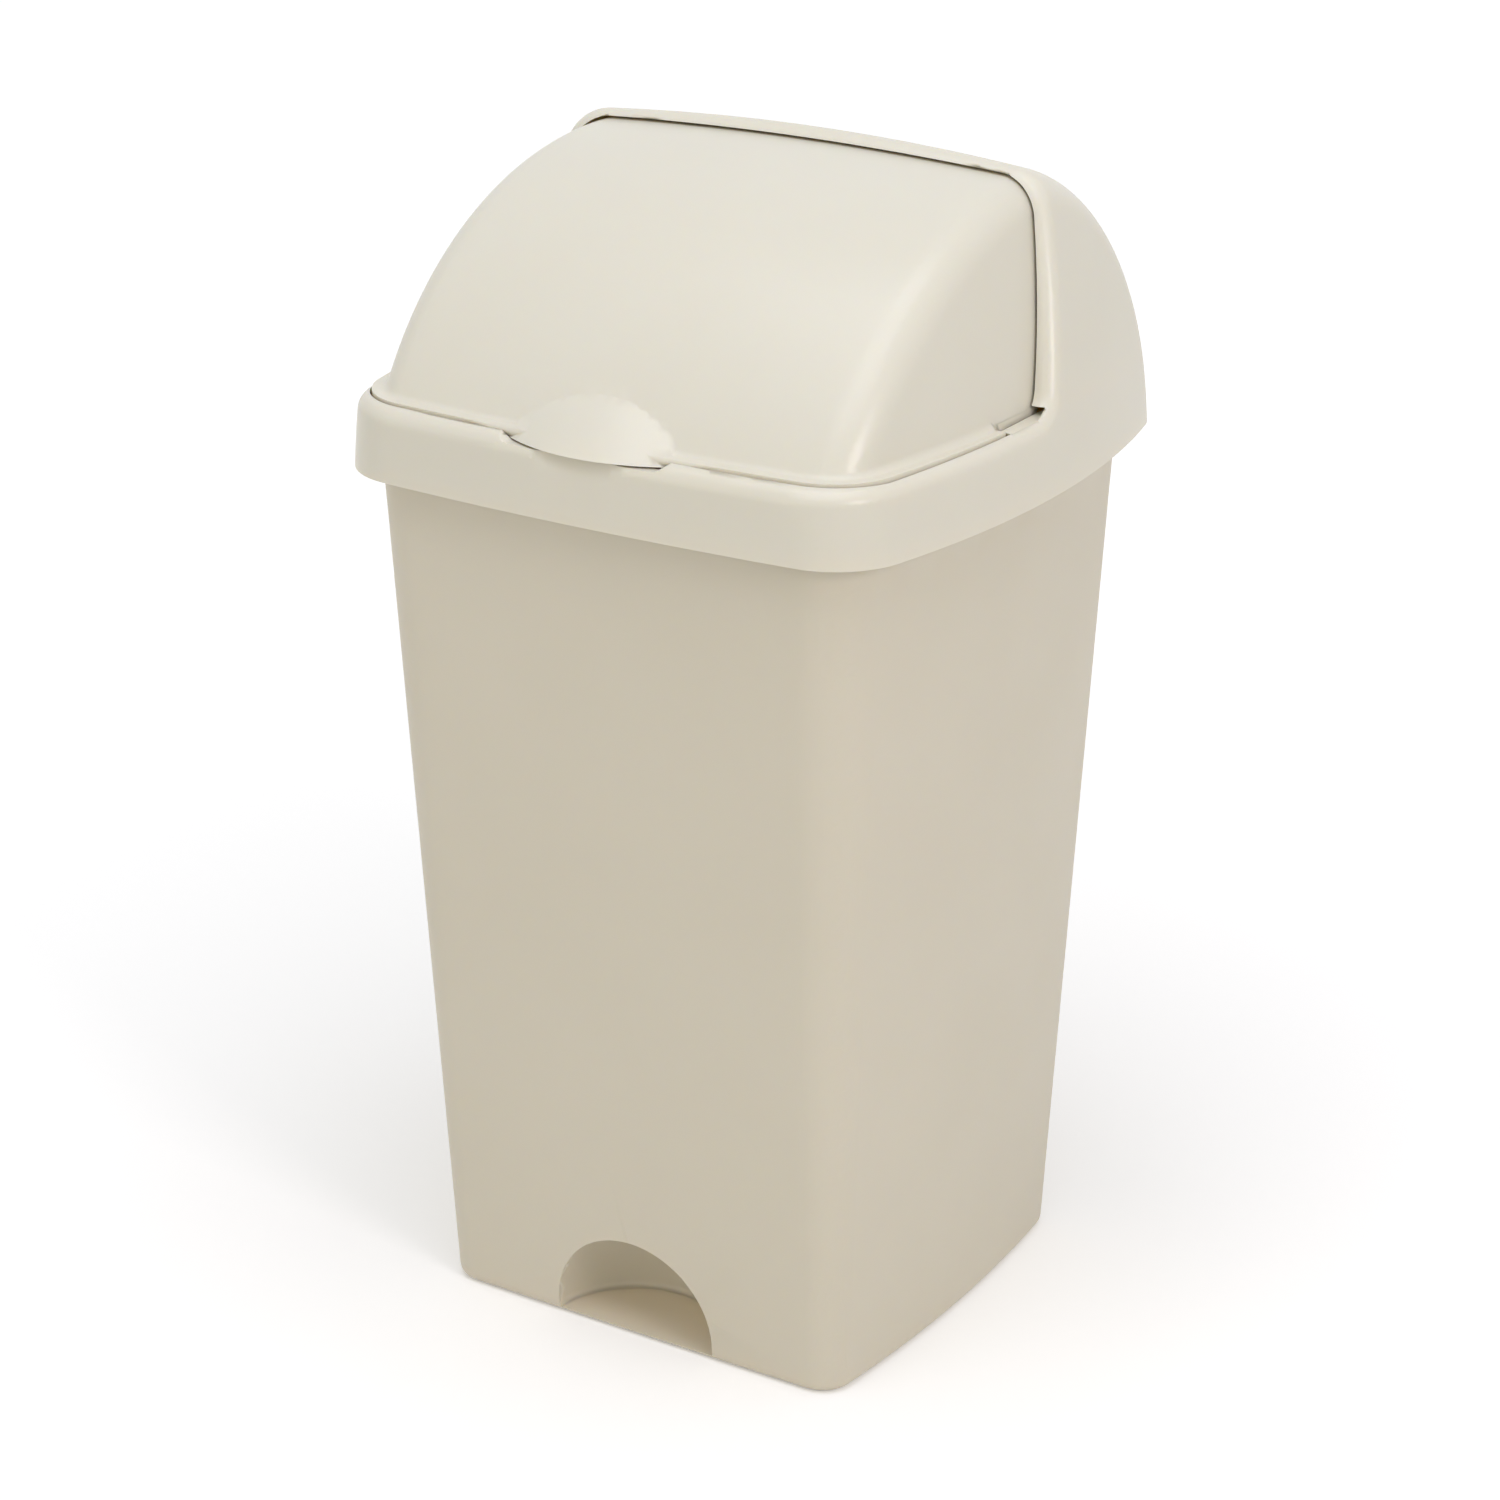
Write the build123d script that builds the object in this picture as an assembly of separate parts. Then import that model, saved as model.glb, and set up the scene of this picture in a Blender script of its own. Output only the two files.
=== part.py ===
from build123d import *
import math
import os

os.makedirs("parts", exist_ok=True)

# Roll-top kitchen bin in millimetres. X is to the right, Y to the back, Z up, and the origin is the
# centre of the bin's base at floor level. The front, with the thumb grip, faces -Y.

# Bin body, outside sizes
base_width = 283.4
base_depth = 259.0
base_side_bow = 8.6
base_front_bow = 0.6
base_corner_radius = 20.0
base_edge_radius = 7.0
mouth_width = 339.2
mouth_depth = 323.0
mouth_side_bow = 18.0
mouth_front_bow = 4.6
mouth_corner_radius = 36.0
body_wall = 2.5
floor_thickness = 3.0
foot_height = 5.0
foot_width = 9.5

# Rim of the bin body, which the lid stands on
rim_height = 528.0
rim_upright = 13.0
flare_height = 8.0
rim_flare_side = 11.9
rim_flare_front = 9.7
rim_side_bow = 20.0
rim_front_bow = 6.6
rim_thickness = 3.5

# Foot pocket at the bottom of the front, with a tread plate that the toe holds down
pocket_width = 105.0
pocket_height = 63.0
pocket_depth = 50.0
tread_thickness = 3.0

# Lid frame: collar round the mouth, and hood behind the cover
lid_wall = 2.5
collar_gap_side = 6.2
collar_gap_front = 4.4
collar_drop = 18.0
collar_rise = 24.0
collar_corner_radius = 45.5
collar_front_radius = 1800.0
side_radius = 600.0
side_centre_drop = 60.0
hood_axis_back = 15.2
hood_axis_drop = 4.1
hood_crown_radius = 1500.0
hood_corner_radius = 28.0
hood_front_back = 8.6
hood_lean = 17.1
hood_foot_radius = 18.0
lip_radius = 10.0

# Inner flange of the lid frame, which stands on the rim
flange_inset = 4.0
flange_thickness = 3.0
flange_rise = 32.0

# Roll cover
cover_wall = 2.5
cover_axis_back = 49.5
cover_axis_drop = 95.9
cover_radius = 240.6
cover_crown_radius = 2150.0
cheek_radius = 634.0
cheek_flare = 2.4
cheek_centre_back = 5.5
cheek_centre_drop = 40.6
cover_corner_radius = 24.0
cover_gap = 1.8
cover_tuck = 8.0
cover_sink = 2.6

# Bead along the cover's bottom edge
bead_gap = 1.0
bead_height = 4.0
bead_end = -31.0
bead_cove = 5.0

# Thumb grip on the cover, and below it the dip in the collar's top edge and the finger scoop
grip_width = 114.0
grip_height = 25.5
grip_reach = 17.5
grip_wall = 2.5
grip_drop = 3.5
dip_width = 108.0
dip_floor = 94.0
dip_depth = 4.7
dip_corner_radius = 6.0
scoop_width = 84.0
scoop_height = 18.0
scoop_depth = 5.0

# Pivots
pivot_back = -10.0
pivot_rise = 10.0
pin_radius = 4.5
pin_length = 5.1
pin_clearance = 0.05
pin_end_gap = 0.4
ear_radius = 11.0
ear_thickness = 3.0
ear_front = -27.0
ear_back = 14.0
ear_overlap = 6.0
ear_boss_radius = 8.0
ear_boss_gap = 0.6
socket_wall = 4.45
socket_floor = 1.0
socket_recess = 0.2

# Rest tabs under the closed cover
tab_spacing = 180.0
tab_width = 12.0
tab_depth = 4.6
tab_height = 4.0
tab_gap = 0.3
tab_root = 1.0

# Ledges beside the cover's cheeks, which close the opening behind the bead
ledge_front = -27.5
ledge_back = 20.0
ledge_gap = 2.0

# Places that follow from the sizes above
rim_half_width = mouth_width / 2 + rim_flare_side
rim_half_depth = mouth_depth / 2 + rim_flare_front
rim_corner_radius = mouth_corner_radius + rim_flare_front
collar_half_width = rim_half_width + collar_gap_side
collar_half_depth = rim_half_depth + collar_gap_front
collar_bottom = rim_height - collar_drop
collar_top = rim_height + collar_rise
hood_axis_height = rim_height - hood_axis_drop
hood_radius = collar_half_depth - hood_axis_back
opening_half_width = rim_half_width - flange_inset
opening_half_depth = rim_half_depth - flange_inset
cover_bottom = collar_top - cover_sink
cover_axis_height = rim_height - cover_axis_drop
cheek_centre_height = rim_height - cheek_centre_drop
pivot_height = rim_height + pivot_rise
cheek_half_width = mouth_width / 2 + cheek_flare
pin_start = opening_half_width - ear_boss_gap

# Reach of cutting shapes, and how far past them a cut runs
far = 400.0
overshoot = 5.0


def plan_face(half_width, half_depth, side_bow, front_bow, corner, height):
    """Rounded plan outline whose four sides bow outwards."""
    x = half_width - side_bow
    y = half_depth - front_bow
    front = ThreePointArc((-x, -y), (0, -half_depth), (x, -y))
    right = ThreePointArc((x, -y), (half_width, 0), (x, y))
    back = ThreePointArc((x, y), (0, half_depth), (-x, y))
    left = ThreePointArc((-x, y), (-half_width, 0), (-x, -y))
    sharp = make_face([front, right, back, left])
    return Pos(0, 0, height) * fillet(sharp.vertices(), corner)


def dome(width, height, reach, y, z, towards, fall=0.0, grow=0.0):
    """Ball that bulges from a wall at y, towards the back or front, and shows as an arch on it.

    At level z the arch has the given width and the ball reaches the given depth. The arch ends at
    the given height above or below z, where the wall itself has moved by fall the other way.
    """
    to_back, to_top = towards
    level_radius = ((width / 2) ** 2 + reach**2) / (2 * reach)
    set_back = level_radius - reach
    rise = (height**2 + (set_back - fall) ** 2 - level_radius**2) / (2 * height)
    radius = math.hypot(level_radius, rise)
    return Pos(0, y - to_back * set_back, z + to_top * rise) * Sphere(radius + grow)


def side_prism(points):
    """Block the full width of the bin, from an outline in the side view (y, z)."""
    outline = Polyline(*points, close=True)
    return extrude(Plane.YZ * make_face(outline), far, both=True)


def crowned_face(reach, crown_radius):
    """Flat region from a line across the bin to an arc at the given reach, before it is placed."""
    half = far / 2
    sag = crown_radius - math.sqrt(crown_radius**2 - half**2)
    arc = ThreePointArc((half, reach - sag), (0, reach), (-half, reach - sag))
    rest = Polyline((-half, reach - sag), (-half, 0), (half, 0), (half, reach - sag))
    return make_face([arc, rest])


def body_section(level, inset):
    """Plan of the bin's tapered wall at a level from 0 (base) to 1 (mouth)."""
    def between(at_base, at_mouth):
        return at_base + (at_mouth - at_base) * level

    return plan_face(
        between(base_width, mouth_width) / 2 - inset,
        between(base_depth, mouth_depth) / 2 - inset,
        between(base_side_bow, mouth_side_bow),
        between(base_front_bow, mouth_front_bow),
        between(base_corner_radius, mouth_corner_radius) - inset,
        level * (rim_height - rim_upright - flare_height),
    )


def rim_section(inset, height):
    """Plan of the upright rim."""
    return plan_face(
        rim_half_width - inset,
        rim_half_depth - inset,
        rim_side_bow,
        rim_front_bow,
        rim_corner_radius - inset,
        height,
    )


def make_bin_body():
    shoulder = rim_height - rim_upright
    floor_top = foot_height + floor_thickness
    mouth = rim_height - rim_upright - flare_height
    floor_level = floor_top / mouth

    outside = loft([body_section(0, 0), body_section(1, 0)], ruled=True)
    outside = fillet(outside.faces().sort_by(Axis.Z)[0].edges(), base_edge_radius)
    outside += loft([body_section(1, 0), rim_section(0, shoulder)], ruled=True)
    outside += extrude(rim_section(0, shoulder), rim_upright)

    hollow = loft([body_section(floor_level, body_wall), body_section(1, body_wall)], ruled=True)
    hollow = fillet(hollow.faces().sort_by(Axis.Z)[0].edges(), base_edge_radius - body_wall)
    hollow += loft([body_section(1, body_wall), rim_section(rim_thickness, shoulder)], ruled=True)
    hollow += extrude(rim_section(rim_thickness, shoulder), rim_upright + overshoot)
    recess = extrude(body_section(0, foot_width), foot_height)

    front = -base_depth / 2
    inwards = (1, 1)
    lean = (mouth_depth - base_depth) / 2 / mouth * pocket_height
    pocket = dome(pocket_width, pocket_height, pocket_depth, front, 0, inwards, lean)
    pocket_shell = dome(
        pocket_width, pocket_height, pocket_depth, front, 0, inwards, lean, grow=body_wall
    )
    pocket = pocket & Pos(0, 0, tread_thickness + far / 2) * Box(far, far, far)
    return outside - pocket - (hollow - pocket_shell) - (recess - pocket_shell)


def lid_side(side, inset):
    """Ball whose skin is the bulging left (-1) or right (1) side of the lid."""
    centre_height = rim_height - side_centre_drop
    reach = math.sqrt(side_radius**2 - (collar_bottom - centre_height) ** 2)
    return Pos(side * (collar_half_width - reach), 0, centre_height) * Sphere(side_radius - inset)


def seam_y(height, offset):
    """Y of the hood's leaning front edge, moved back by the offset square to it."""
    lean = math.radians(hood_lean)
    return hood_front_back + (height - collar_top) * math.tan(lean) + offset / math.cos(lean)


def lid_mass(inset, bottom):
    """Solid lump with the lid's outer form, or with its inner form when inset by the wall."""
    top = collar_top - inset
    front_face = Pos(0, hood_axis_back, bottom) * mirror(
        crowned_face(collar_half_depth + hood_axis_back - inset, collar_front_radius - inset), Plane.XZ
    )
    rear_face = Pos(0, hood_axis_back, bottom) * crowned_face(
        hood_radius - inset, hood_crown_radius - inset
    )
    barrel_face = Pos(0, hood_axis_back, hood_axis_height) * crowned_face(
        hood_radius - inset, hood_crown_radius - inset
    )
    front_block = extrude(front_face, top + hood_foot_radius - bottom)
    rear_block = extrude(rear_face, hood_axis_height - bottom)
    barrel = revolve(barrel_face, Axis((0, hood_axis_back, hood_axis_height), (1, 0, 0)), 180)
    lump = front_block + rear_block + barrel

    peak = hood_axis_height + hood_radius + overshoot
    side_view = make_face(
        Polyline(
            (-far, bottom - far),
            (-far, top),
            (seam_y(top, inset), top),
            (seam_y(peak, inset), peak),
            (far, peak),
            (far, bottom - far),
            close=True,
        )
    )
    corner = side_view.vertices().sort_by_distance((seam_y(top, inset), top, 0))[0]
    side_view = fillet(corner, hood_foot_radius + inset)
    lump = lump & extrude(Plane.YZ * side_view, far, both=True)
    lump = lump & lid_side(1, inset) & lid_side(-1, inset)

    upright = [e for e in lump.edges() if abs((e @ 0.5).X) > collar_half_width / 2]
    upright = [e for e in upright if (e @ 0.5).Z > bottom + 1]
    rear = [e for e in upright if (e @ 0.5).Y > hood_axis_back + hood_radius / 3]
    lump = fillet(rear, hood_corner_radius - inset)
    upright = [e for e in lump.edges() if abs((e % 0.5).Z) > 0.9 and (e @ 0.5).Y < -hood_radius / 2]
    lump = fillet(upright, collar_corner_radius - inset)
    lip = [e for e in lump.edges() if on_lip(e, inset)]
    return fillet(lip, lip_radius - inset)


def on_lip(edge, inset):
    """True for the outer edges of the collar's flat top, of the hood's foot and of its front."""
    middle = edge @ 0.5
    if edge.geom_type == GeomType.LINE and abs((edge % 0.5).X) > 0.99:
        return False
    if middle.Z < collar_top - inset - 1:
        return False
    return middle.Y < seam_y(middle.Z, inset) + 1


def cover_lump(inset, bottom, tuck):
    """Solid lump with the cover's outer form; a negative inset makes it larger."""
    axis = Axis((0, cover_axis_back, cover_axis_height), (1, 0, 0))
    section = Pos(0, cover_axis_back, cover_axis_height) * crowned_face(
        cover_radius - inset, cover_crown_radius - inset
    )
    lump = revolve(section, axis, 200)
    peak = cover_axis_height + cover_radius + overshoot
    lump = lump & side_prism(
        (
            (-far, bottom),
            (-far, peak),
            (seam_y(peak, tuck), peak),
            (seam_y(bottom, tuck), bottom),
        )
    )
    for side in (-1, 1):
        centre = Pos(side * (cheek_half_width - cheek_radius), cheek_centre_back, cheek_centre_height)
        lump = lump & centre * Sphere(cheek_radius - inset)
    corners = [e for e in lump.edges() if abs((e @ 0.5).X) > cheek_half_width / 2]
    corners = [e for e in corners if (e @ 0.5).Z > bottom + overshoot]
    corners = [e for e in corners if (e @ 0.5).Y < seam_y((e @ 0.5).Z, tuck) - overshoot]
    corners = [e for e in corners if min((e @ 0).Y, (e @ 1).Y) < -opening_half_depth / 2]
    return fillet(corners, cover_corner_radius - inset)


def opening_section(gap, height):
    """Plan of the lid's opening, made smaller by the gap."""
    return rim_section(flange_inset + gap, height)


def cheek_x(y, height):
    """Half-width of the cover's cheek at a place in the side view."""
    across = (y - cheek_centre_back) ** 2 + (height - cheek_centre_height) ** 2
    return cheek_half_width - cheek_radius + math.sqrt(cheek_radius**2 - across)


def pivot_rod(radius, start, end):
    """Rod along the pivot line on the right side."""
    return extrude(Plane.YZ.offset(start) * Pos(pivot_back, pivot_height) * Circle(radius), end - start)


def both_sides(shape):
    return shape + mirror(shape, Plane.YZ)


def dip(grow=0.0):
    """Lying bar that dips the collar's front top edge under the grip."""
    slope = (dip_width - dip_floor) / 2 / dip_depth
    bottom = collar_top - dip_depth - grow
    top = collar_top + hood_foot_radius
    floor_x = dip_floor / 2 + grow
    top_x = floor_x + slope * (top - bottom)
    outline = make_face(
        Polyline((-floor_x, bottom), (floor_x, bottom), (top_x, top), (-top_x, top), close=True)
    )
    outline = fillet(outline.vertices().sort_by(Axis.Y)[:2], dip_corner_radius + grow)
    return extrude(Plane.XZ.offset(collar_half_depth) * outline, collar_half_depth / 4, both=True)


def make_lid_frame():
    below = collar_bottom - overshoot
    front = -collar_half_depth
    inwards = (1, -1)
    scoop = dome(scoop_width, scoop_height, scoop_depth, front, collar_top, inwards) + dip()
    scoop_shell = dip(lid_wall) + dome(
        scoop_width, scoop_height, scoop_depth, front, collar_top, inwards, grow=lid_wall
    )
    outside = lid_mass(0, collar_bottom) - scoop
    frame = outside - (lid_mass(lid_wall, below) - scoop_shell)
    frame -= extrude(opening_section(0, below), collar_top + overshoot - below)
    frame -= cover_lump(-cover_gap, collar_top, lid_wall + cover_gap)

    flange = extrude(opening_section(-flange_thickness, rim_height), flange_rise)
    flange -= extrude(opening_section(0, rim_height), flange_rise)
    frame += flange & outside

    socket_radius = pin_radius + pin_clearance + socket_wall
    bore_end = pin_start + pin_length + pin_end_gap
    socket = pivot_rod(socket_radius, opening_half_width + socket_recess, bore_end + socket_floor)
    bore = pivot_rod(pin_radius + pin_clearance, pin_start, bore_end)
    frame += both_sides(socket)
    frame -= both_sides(bore)

    tab_top = cover_bottom - tab_gap
    tab = Pos(tab_spacing / 2, -opening_half_depth, tab_top - tab_height / 2) * Box(
        tab_width, 2 * tab_depth, tab_height
    )
    frame += both_sides(tab & extrude(opening_section(-tab_root, rim_height), collar_rise))
    return frame + make_ledges()


def make_ledges():
    """Strips along the collar's top edge, between the opening and the cover's cheeks."""
    inner = cheek_x(pivot_back, cover_bottom) + ledge_gap
    length = ledge_back - ledge_front
    middle = (ledge_back + ledge_front) / 2
    strip = Pos(inner + far / 2, middle, collar_top - lid_wall / 2) * Box(far, length, lid_wall)
    edge = extrude(opening_section(-tab_root, rim_height), collar_rise)
    return both_sides(strip & edge)


def cover_front(height):
    """Y of the cover's front on the middle plane."""
    return cover_axis_back - math.sqrt(cover_radius**2 - (height - cover_axis_height) ** 2)


def make_grip():
    """Half-egg hood for the fingers, hollow and open below."""
    foot = collar_top - grip_drop
    root = cover_front(foot)
    fall = cover_front(foot + grip_height) - root
    outwards = (-1, 1)
    outside = dome(grip_width, grip_height, grip_reach, root, foot, outwards, fall)
    inside = dome(
        grip_width, grip_height, grip_reach, root, foot, outwards, fall, grow=-grip_wall
    )
    front = Pos(0, -far, foot + far / 2) * Box(far, 2 * far, far)
    return (outside - inside) & front


def make_ear():
    """Right ear below the cheek, with its boss and stub pin."""
    face = cheek_x(pivot_back, cover_bottom)
    top = cover_bottom + ear_overlap
    plate = make_face(
        Polyline(
            (ear_front, top),
            (ear_back, top),
            (pivot_back + ear_radius, pivot_height),
            (pivot_back - ear_radius, pivot_height),
            close=True,
        )
    )
    plate += Pos(pivot_back, pivot_height) * Circle(ear_radius)
    ear = extrude(Plane.YZ.offset(face - ear_thickness) * plate, ear_thickness)
    ear += pivot_rod(ear_boss_radius, face - ear_thickness / 2, pin_start)
    return ear + pivot_rod(pin_radius, pin_start, pin_start + pin_length)


def make_roll_cover():
    lump = cover_lump(0, cover_bottom, cover_tuck)
    hollow = cover_lump(cover_wall, cover_bottom - overshoot, cover_tuck + overshoot)
    bead = extrude(opening_section(bead_gap, cover_bottom), bead_height)
    bead = bead & Pos(0, bead_end - far, cover_bottom) * Box(2 * far, 2 * far, far)
    outside = lump + bead
    bead_top = cover_bottom + bead_height
    cove = [e for e in outside.edges() if abs((e @ 0.5).Z - bead_top) < 0.01]
    cove = [e for e in cove if lump.distance_to(e @ 0.5) < 0.01]
    outside = fillet(cove, bead_cove)
    cover = outside - hollow
    cover += make_grip() - hollow
    return cover + both_sides(make_ear())


bin_body = make_bin_body()
lid_frame = make_lid_frame()
roll_cover = make_roll_cover()

for node, shape in (("bin_body", bin_body), ("lid_frame", lid_frame), ("roll_cover", roll_cover)):
    export_step(shape, f"parts/{node}.step")
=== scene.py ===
import math

import bmesh
import bpy
from mathutils import Matrix, Vector


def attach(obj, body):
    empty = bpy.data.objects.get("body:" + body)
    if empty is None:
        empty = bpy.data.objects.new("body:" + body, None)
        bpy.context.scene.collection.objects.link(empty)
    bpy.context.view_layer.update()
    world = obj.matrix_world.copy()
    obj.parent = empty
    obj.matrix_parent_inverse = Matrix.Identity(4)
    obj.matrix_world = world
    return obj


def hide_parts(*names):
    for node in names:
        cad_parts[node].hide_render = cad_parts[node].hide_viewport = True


# Roll-top kitchen bin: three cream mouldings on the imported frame, in metres.

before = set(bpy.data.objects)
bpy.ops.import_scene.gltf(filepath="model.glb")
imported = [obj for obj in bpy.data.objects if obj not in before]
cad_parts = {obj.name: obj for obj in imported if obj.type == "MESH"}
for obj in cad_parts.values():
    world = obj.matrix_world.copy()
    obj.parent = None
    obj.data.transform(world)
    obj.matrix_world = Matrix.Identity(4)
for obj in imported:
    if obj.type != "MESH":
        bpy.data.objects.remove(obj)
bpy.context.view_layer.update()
print("frame loaded:", ", ".join(sorted(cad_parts)))


# helpers

white = (1, 1, 1, 1)
mixColours = (6, 7)    # the mixer's colour sockets, by number because its other sockets share their names
mixResult = 2


def linearColour(hexCode):
    # sRGB hex to linear: below 0.04045 divide by 12.92, above it take the 2.4 power curve
    channels = [int(hexCode[i:i + 2], 16) / 255 for i in (0, 2, 4)]
    curve = [c / 12.92 if c <= 0.04045 else ((c + 0.055) / 1.055) ** 2.4 for c in channels]
    return (*curve, 1.0)


def addNode(tree, kind, settings=None, links=None):
    # settings: node attribute or input socket -> value; links: input socket -> output socket
    node = tree.nodes.new(kind)
    for key, value in (settings or {}).items():
        if isinstance(key, int) or key in node.inputs:
            node.inputs[key].default_value = value
        else:
            setattr(node, key, value)
    for key, output in (links or {}).items():
        tree.links.new(output, node.inputs[key])
    return node


def newMaterial(name):
    material = bpy.data.materials.new(name)
    material.use_nodes = True
    material.node_tree.nodes.clear()
    return material


def perMetre(millimetres):
    # texture scale whose features are this many millimetres wide: how many of them go into a metre
    return 1000 / millimetres


def metres(millimetres):
    return millimetres / 1000


# camera, at the photograph's angle

cameraSet = {
    "place": (1.1285, -1.7910, 1.1756),
    "azimuth": 32.29,      # degrees round from the front to the right
    "elevation": 21.91,    # degrees above level
    "roll": 0.07,          # degrees
    "lens": 94.83,         # mm
    "sensorWidth": 36,     # mm
}


def makeCamera(settings):
    # back points from the bin to the camera: the azimuth's sine and minus its cosine, both times the
    # elevation's cosine, then the elevation's sine; right is level, and up is square to both
    azimuth = math.radians(settings["azimuth"])
    elevation = math.radians(settings["elevation"])
    back = Vector((math.sin(azimuth) * math.cos(elevation),
                   -math.cos(azimuth) * math.cos(elevation),
                   math.sin(elevation)))
    right = Vector((math.cos(azimuth), math.sin(azimuth), 0))
    turn = Matrix((right, back.cross(right), back)).transposed().to_4x4()
    data = bpy.data.cameras.new("camera")
    data.lens = settings["lens"]
    data.sensor_width = settings["sensorWidth"]
    camera = bpy.data.objects.new("camera", data)
    camera.matrix_world = (Matrix.Translation(settings["place"]) @ turn
                           @ Matrix.Rotation(math.radians(settings["roll"]), 4, "Z"))
    bpy.context.scene.collection.objects.link(camera)
    bpy.context.scene.camera = camera


makeCamera(cameraSet)
print("camera set")


# injection-moulded polypropylene: a waxy, slightly translucent cream with a soft satin gloss;
# the tool's fine spark-eroded grain breaks up the highlights, and thin panels cool a little wavy

polypropylene = {
    "ior": 1.49,
    "scatter": (0.010, 0.006, 0.002),    # metres that red, green and blue light go inside it
    "mostNoise": (0.35, 0.65),           # where most values of a noise cloud lie
}

binPlastic = {
    "colour": "ddd4c0",
    "warmer": "d8cfba",           # where the melt ran slower, a shade yellower
    "roughness": (0.44, 0.48),
    "grainWidth": 1.6,            # mm; the real grain is about 0.5 mm, coarser here so that it shows
    "grainDepth": 0.012,          # mm
    "waveWidth": 90.0,            # mm
    "waveDepth": 0.25,            # mm
    "cloudWidth": 140.0,          # mm, of the two shades
    "subsurface": 0.18,
}

lidPlastic = {
    "colour": "e2dccb",
    "warmer": "dfd8c5",
    "roughness": (0.30, 0.32),    # a better polished tool than the bin's
    "grainWidth": 1.6,
    "grainDepth": 0.003,
    "waveWidth": 110.0,
    "waveDepth": 0.2,
    "cloudWidth": 120.0,
    "subsurface": 0.18,
}


def mouldedPolypropylene(name, look):
    # the colour goes from one shade to the other by a slow cloud, and the roughness through its range
    # by a cloud half as wide; the waves tilt the surface, and the grain tilts it a little more
    material = newMaterial(name)
    tree = material.node_tree
    place = addNode(tree, "ShaderNodeTexCoord").outputs["Object"]

    def cloud(width, octaves):
        return addNode(tree, "ShaderNodeTexNoise",
                       {"Scale": perMetre(width), "Detail": octaves, "Roughness": 0.5},
                       {"Vector": place}).outputs["Fac"]

    shades = dict(zip(mixColours, (linearColour(look["colour"]), linearColour(look["warmer"]))))
    tone = addNode(tree, "ShaderNodeMix", {"data_type": "RGBA", **shades},
                   {"Factor": cloud(look["cloudWidth"], octaves=3)})
    (least, most), (low, high) = polypropylene["mostNoise"], look["roughness"]
    sheen = addNode(tree, "ShaderNodeMapRange",
                    {"From Min": least, "From Max": most, "To Min": low, "To Max": high},
                    {"Value": cloud(look["cloudWidth"] / 2, octaves=2)})
    wave = addNode(tree, "ShaderNodeBump",
                   {"Strength": 1.0, "Distance": metres(look["waveDepth"])},
                   {"Height": cloud(look["waveWidth"], octaves=1)})
    grain = addNode(tree, "ShaderNodeBump",
                    {"Strength": 1.0, "Distance": metres(look["grainDepth"])},
                    {"Height": cloud(look["grainWidth"], octaves=2), "Normal": wave.outputs["Normal"]})
    shader = addNode(tree, "ShaderNodeBsdfPrincipled",
                     {"IOR": polypropylene["ior"], "Subsurface Weight": look["subsurface"],
                      "Subsurface Radius": polypropylene["scatter"], "Subsurface Scale": 1.0},
                     {"Base Color": tone.outputs[mixResult], "Roughness": sheen.outputs["Result"],
                      "Normal": grain.outputs["Normal"]})
    addNode(tree, "ShaderNodeOutputMaterial", None, {"Surface": shader.outputs["BSDF"]})
    return material


materials = {
    "bin_plastic": mouldedPolypropylene("moulded polypropylene, grained", binPlastic),
    "lid_plastic": mouldedPolypropylene("moulded polypropylene, smooth satin", lidPlastic),
}
print("materials made:", len(materials))


# the three mouldings: each takes the CAD node's own surface, merged and shaded smooth

mouldings = {
    "binShell": {"node": "bin_body", "body": "bin", "slot": "bin_plastic"},
    "lidShell": {"node": "lid_frame", "body": "lid", "slot": "lid_plastic"},
    "coverShell": {"node": "roll_cover", "body": "cover", "slot": "lid_plastic"},
}
sharpAngle = 32.0         # degrees; faces that meet at less are parts of one curved surface
mergeDistance = 1e-6      # metres
largeFaceWeight = 100     # a flat wall's direction wins over that of the narrow fillet faces beside it


def smoothCopy(name, node):
    mesh = node.data.copy()
    mesh.name = name
    work = bmesh.new()
    work.from_mesh(mesh)
    bmesh.ops.remove_doubles(work, verts=work.verts, dist=mergeDistance)
    work.to_mesh(mesh)
    work.free()
    mesh.shade_smooth()
    mesh.set_sharp_from_angle(angle=math.radians(sharpAngle))
    piece = bpy.data.objects.new(name, mesh)
    bpy.context.scene.collection.objects.link(piece)
    shading = piece.modifiers.new("even shading", "WEIGHTED_NORMAL")
    shading.keep_sharp = True
    shading.weight = largeFaceWeight
    return piece


for name, moulding in mouldings.items():
    piece = smoothCopy(name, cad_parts[moulding["node"]])
    piece.data.materials.clear()
    piece.data.materials.append(materials[moulding["slot"]])
    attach(piece, moulding["body"])
    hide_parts(moulding["node"])
    print(name, "made:", len(piece.data.polygons), "faces")


# studio: pale floor, white surroundings, soft lamps

studio = {
    "floorWidth": 8.0,
    "floorColour": "f4f3f0",
    "floorGlow": (0.23, 0.55),    # near and far, seen by the camera only, so that the lit floor is white
    "glowReach": (0.25, 1.8),     # metres from the bin
    "surround": 0.50,             # light that the white room gives
    "surroundSeen": 1.0,          # and what the camera sees of it
    "lamps": {
        # name: (place, target, size, power in watts, colour)
        "overhead": ((0.2, -0.5, 2.6), (0, 0, 0.5), 2.0, 27, "edf1ff"),
        # small and to the right of the camera, so that it draws the streak on the cover's rounded edge
        "right": ((2.0, -0.80, 1.42), (0, 0, 0.4), 0.6, 11.3, "fcf3f6"),
        "front": ((-0.9, -2.4, 0.9), (0, 0, 0.2), 1.6, 5.2, "fff2dc"),
    },
}


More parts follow.
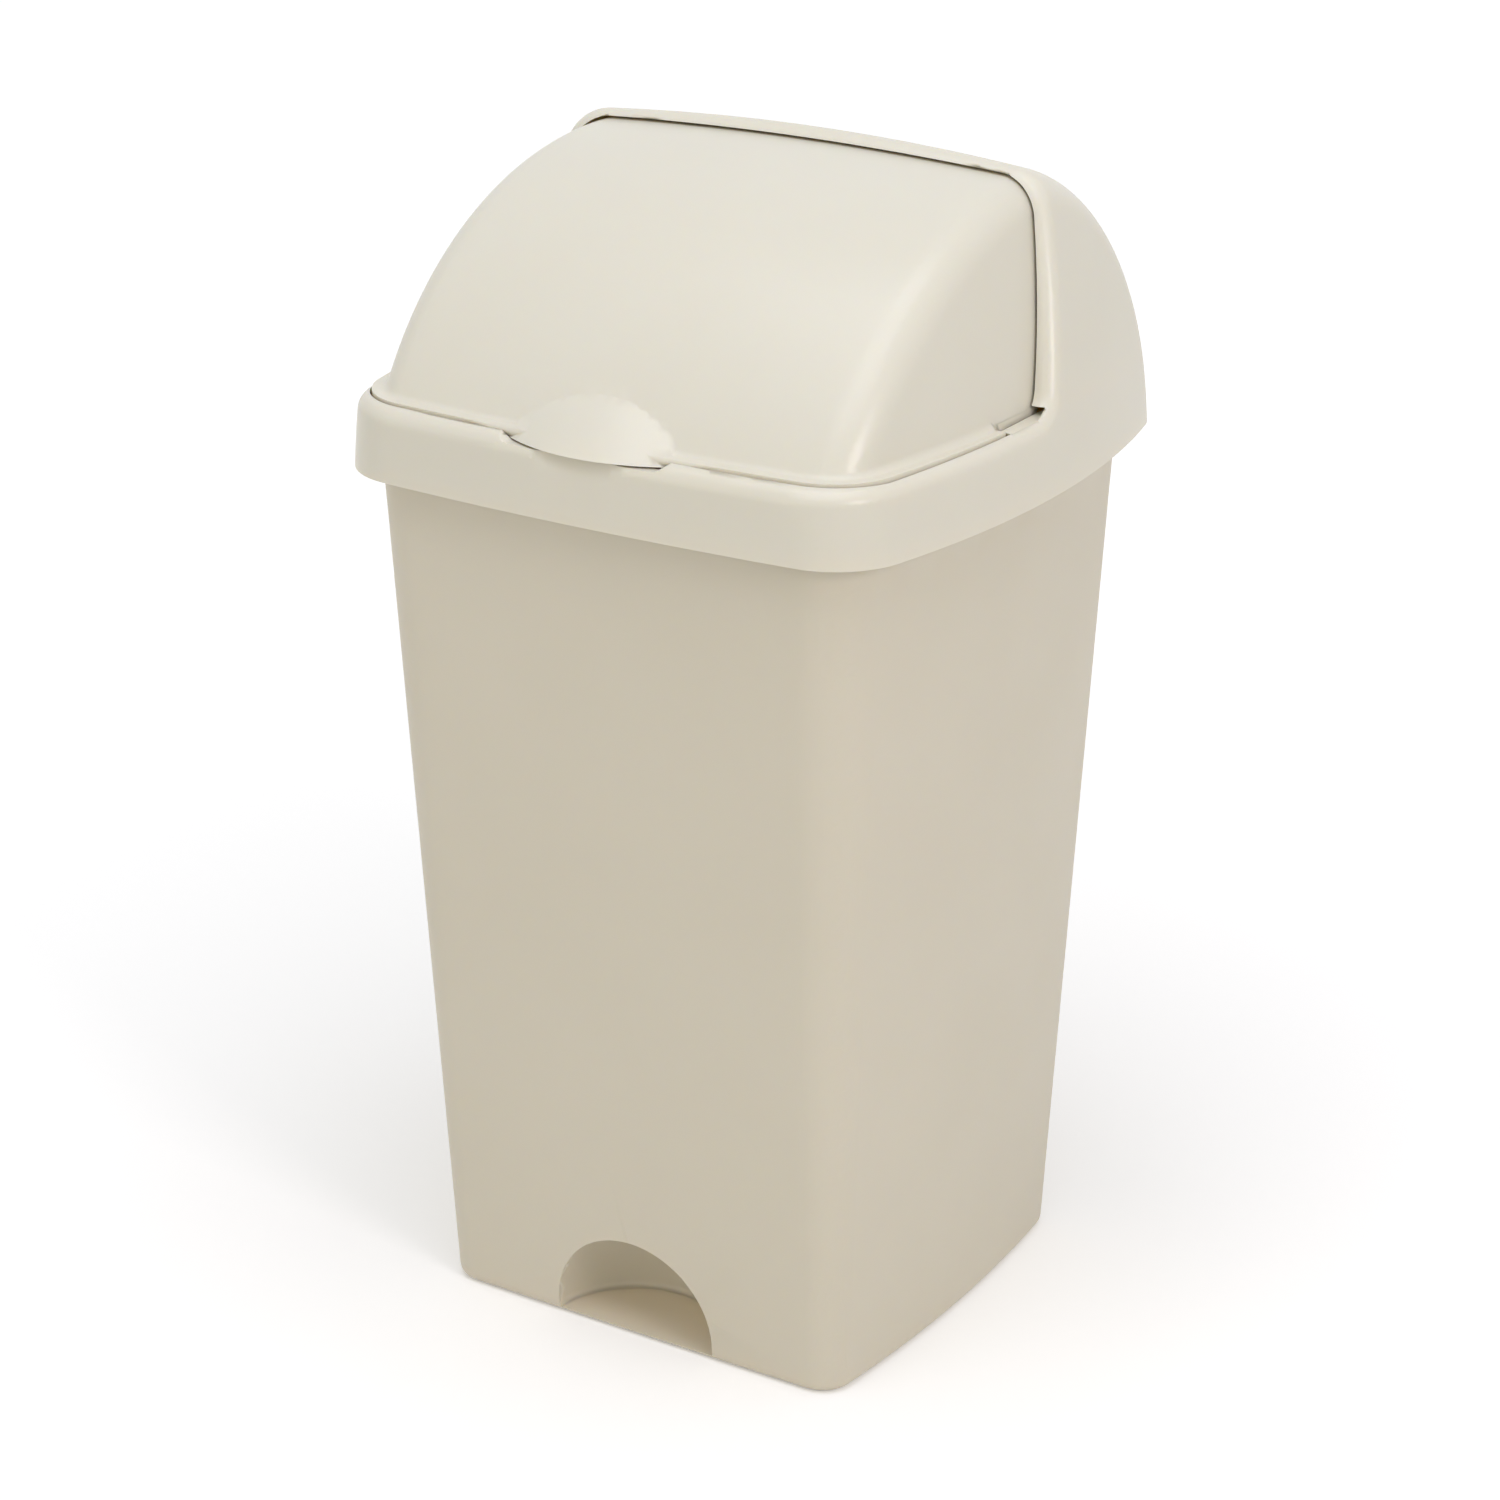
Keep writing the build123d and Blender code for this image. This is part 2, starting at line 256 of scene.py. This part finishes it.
def seenDirectly(tree):
    # 1 for what the camera sees itself, in a gloss or through glass: the largest of the three rays' flags
    path = addNode(tree, "ShaderNodeLightPath")
    sees = path.outputs["Is Camera Ray"]
    for other in ("Is Glossy Ray", "Is Transmission Ray"):
        sees = addNode(tree, "ShaderNodeMath", {"operation": "MAXIMUM"},
                       {0: sees, 1: path.outputs[other]}).outputs[0]
    return sees


def makeRoom(settings):
    # a white surround whose strength is one value as light and another where it is seen
    world = bpy.data.worlds.new("white room")
    bpy.context.scene.world = world
    world.use_nodes = True
    tree = world.node_tree
    tree.nodes.clear()
    strength = addNode(tree, "ShaderNodeMapRange",
                       {"To Min": settings["surround"], "To Max": settings["surroundSeen"]},
                       {"Value": seenDirectly(tree)})
    glow = addNode(tree, "ShaderNodeBackground", {"Color": white}, {"Strength": strength.outputs["Result"]})
    addNode(tree, "ShaderNodeOutputWorld", None, {"Surface": glow.outputs[0]})


def studioPaper(settings):
    # matt paper plus a glow that rises in step with the distance from the bin
    material = newMaterial("white studio paper")
    tree = material.node_tree
    paper = addNode(tree, "ShaderNodeBsdfDiffuse", {"Color": linearColour(settings["floorColour"])})
    place = addNode(tree, "ShaderNodeTexCoord").outputs["Object"]
    away = addNode(tree, "ShaderNodeVectorMath", {"operation": "LENGTH"}, {0: place}).outputs["Value"]
    (near, far), (low, high) = settings["glowReach"], settings["floorGlow"]
    rise = addNode(tree, "ShaderNodeMapRange",
                   {"From Min": near, "From Max": far, "To Min": low, "To Max": high}, {"Value": away})
    strength = addNode(tree, "ShaderNodeMath", {"operation": "MULTIPLY"},
                       {0: seenDirectly(tree), 1: rise.outputs["Result"]})
    glow = addNode(tree, "ShaderNodeEmission", {"Color": white}, {"Strength": strength.outputs[0]})
    both = addNode(tree, "ShaderNodeAddShader", None, {0: paper.outputs[0], 1: glow.outputs[0]})
    addNode(tree, "ShaderNodeOutputMaterial", None, {"Surface": both.outputs[0]})
    return material


def makeFloor(settings):
    half = settings["floorWidth"] / 2
    corners = [(-half, -half, 0), (half, -half, 0), (half, half, 0), (-half, half, 0)]
    mesh = bpy.data.meshes.new("floor")
    mesh.from_pydata(corners, [], [(0, 1, 2, 3)])
    mesh.materials.append(studioPaper(settings))
    floor = bpy.data.objects.new("floor", mesh)
    bpy.context.scene.collection.objects.link(floor)


def hangLamps(lamps):
    for name, (place, target, size, power, colour) in lamps.items():
        data = bpy.data.lights.new(name, "AREA")
        data.size = size
        data.energy = power
        data.color = linearColour(colour)[:3]
        lamp = bpy.data.objects.new(name, data)
        lamp.location = place
        lamp.rotation_mode = "QUATERNION"
        lamp.rotation_quaternion = (Vector(place) - Vector(target)).to_track_quat("Z", "Y")
        bpy.context.scene.collection.objects.link(lamp)


makeRoom(studio)
makeFloor(studio)
hangLamps(studio["lamps"])
bpy.context.scene.view_settings.view_transform = "Standard"
print("studio lit")
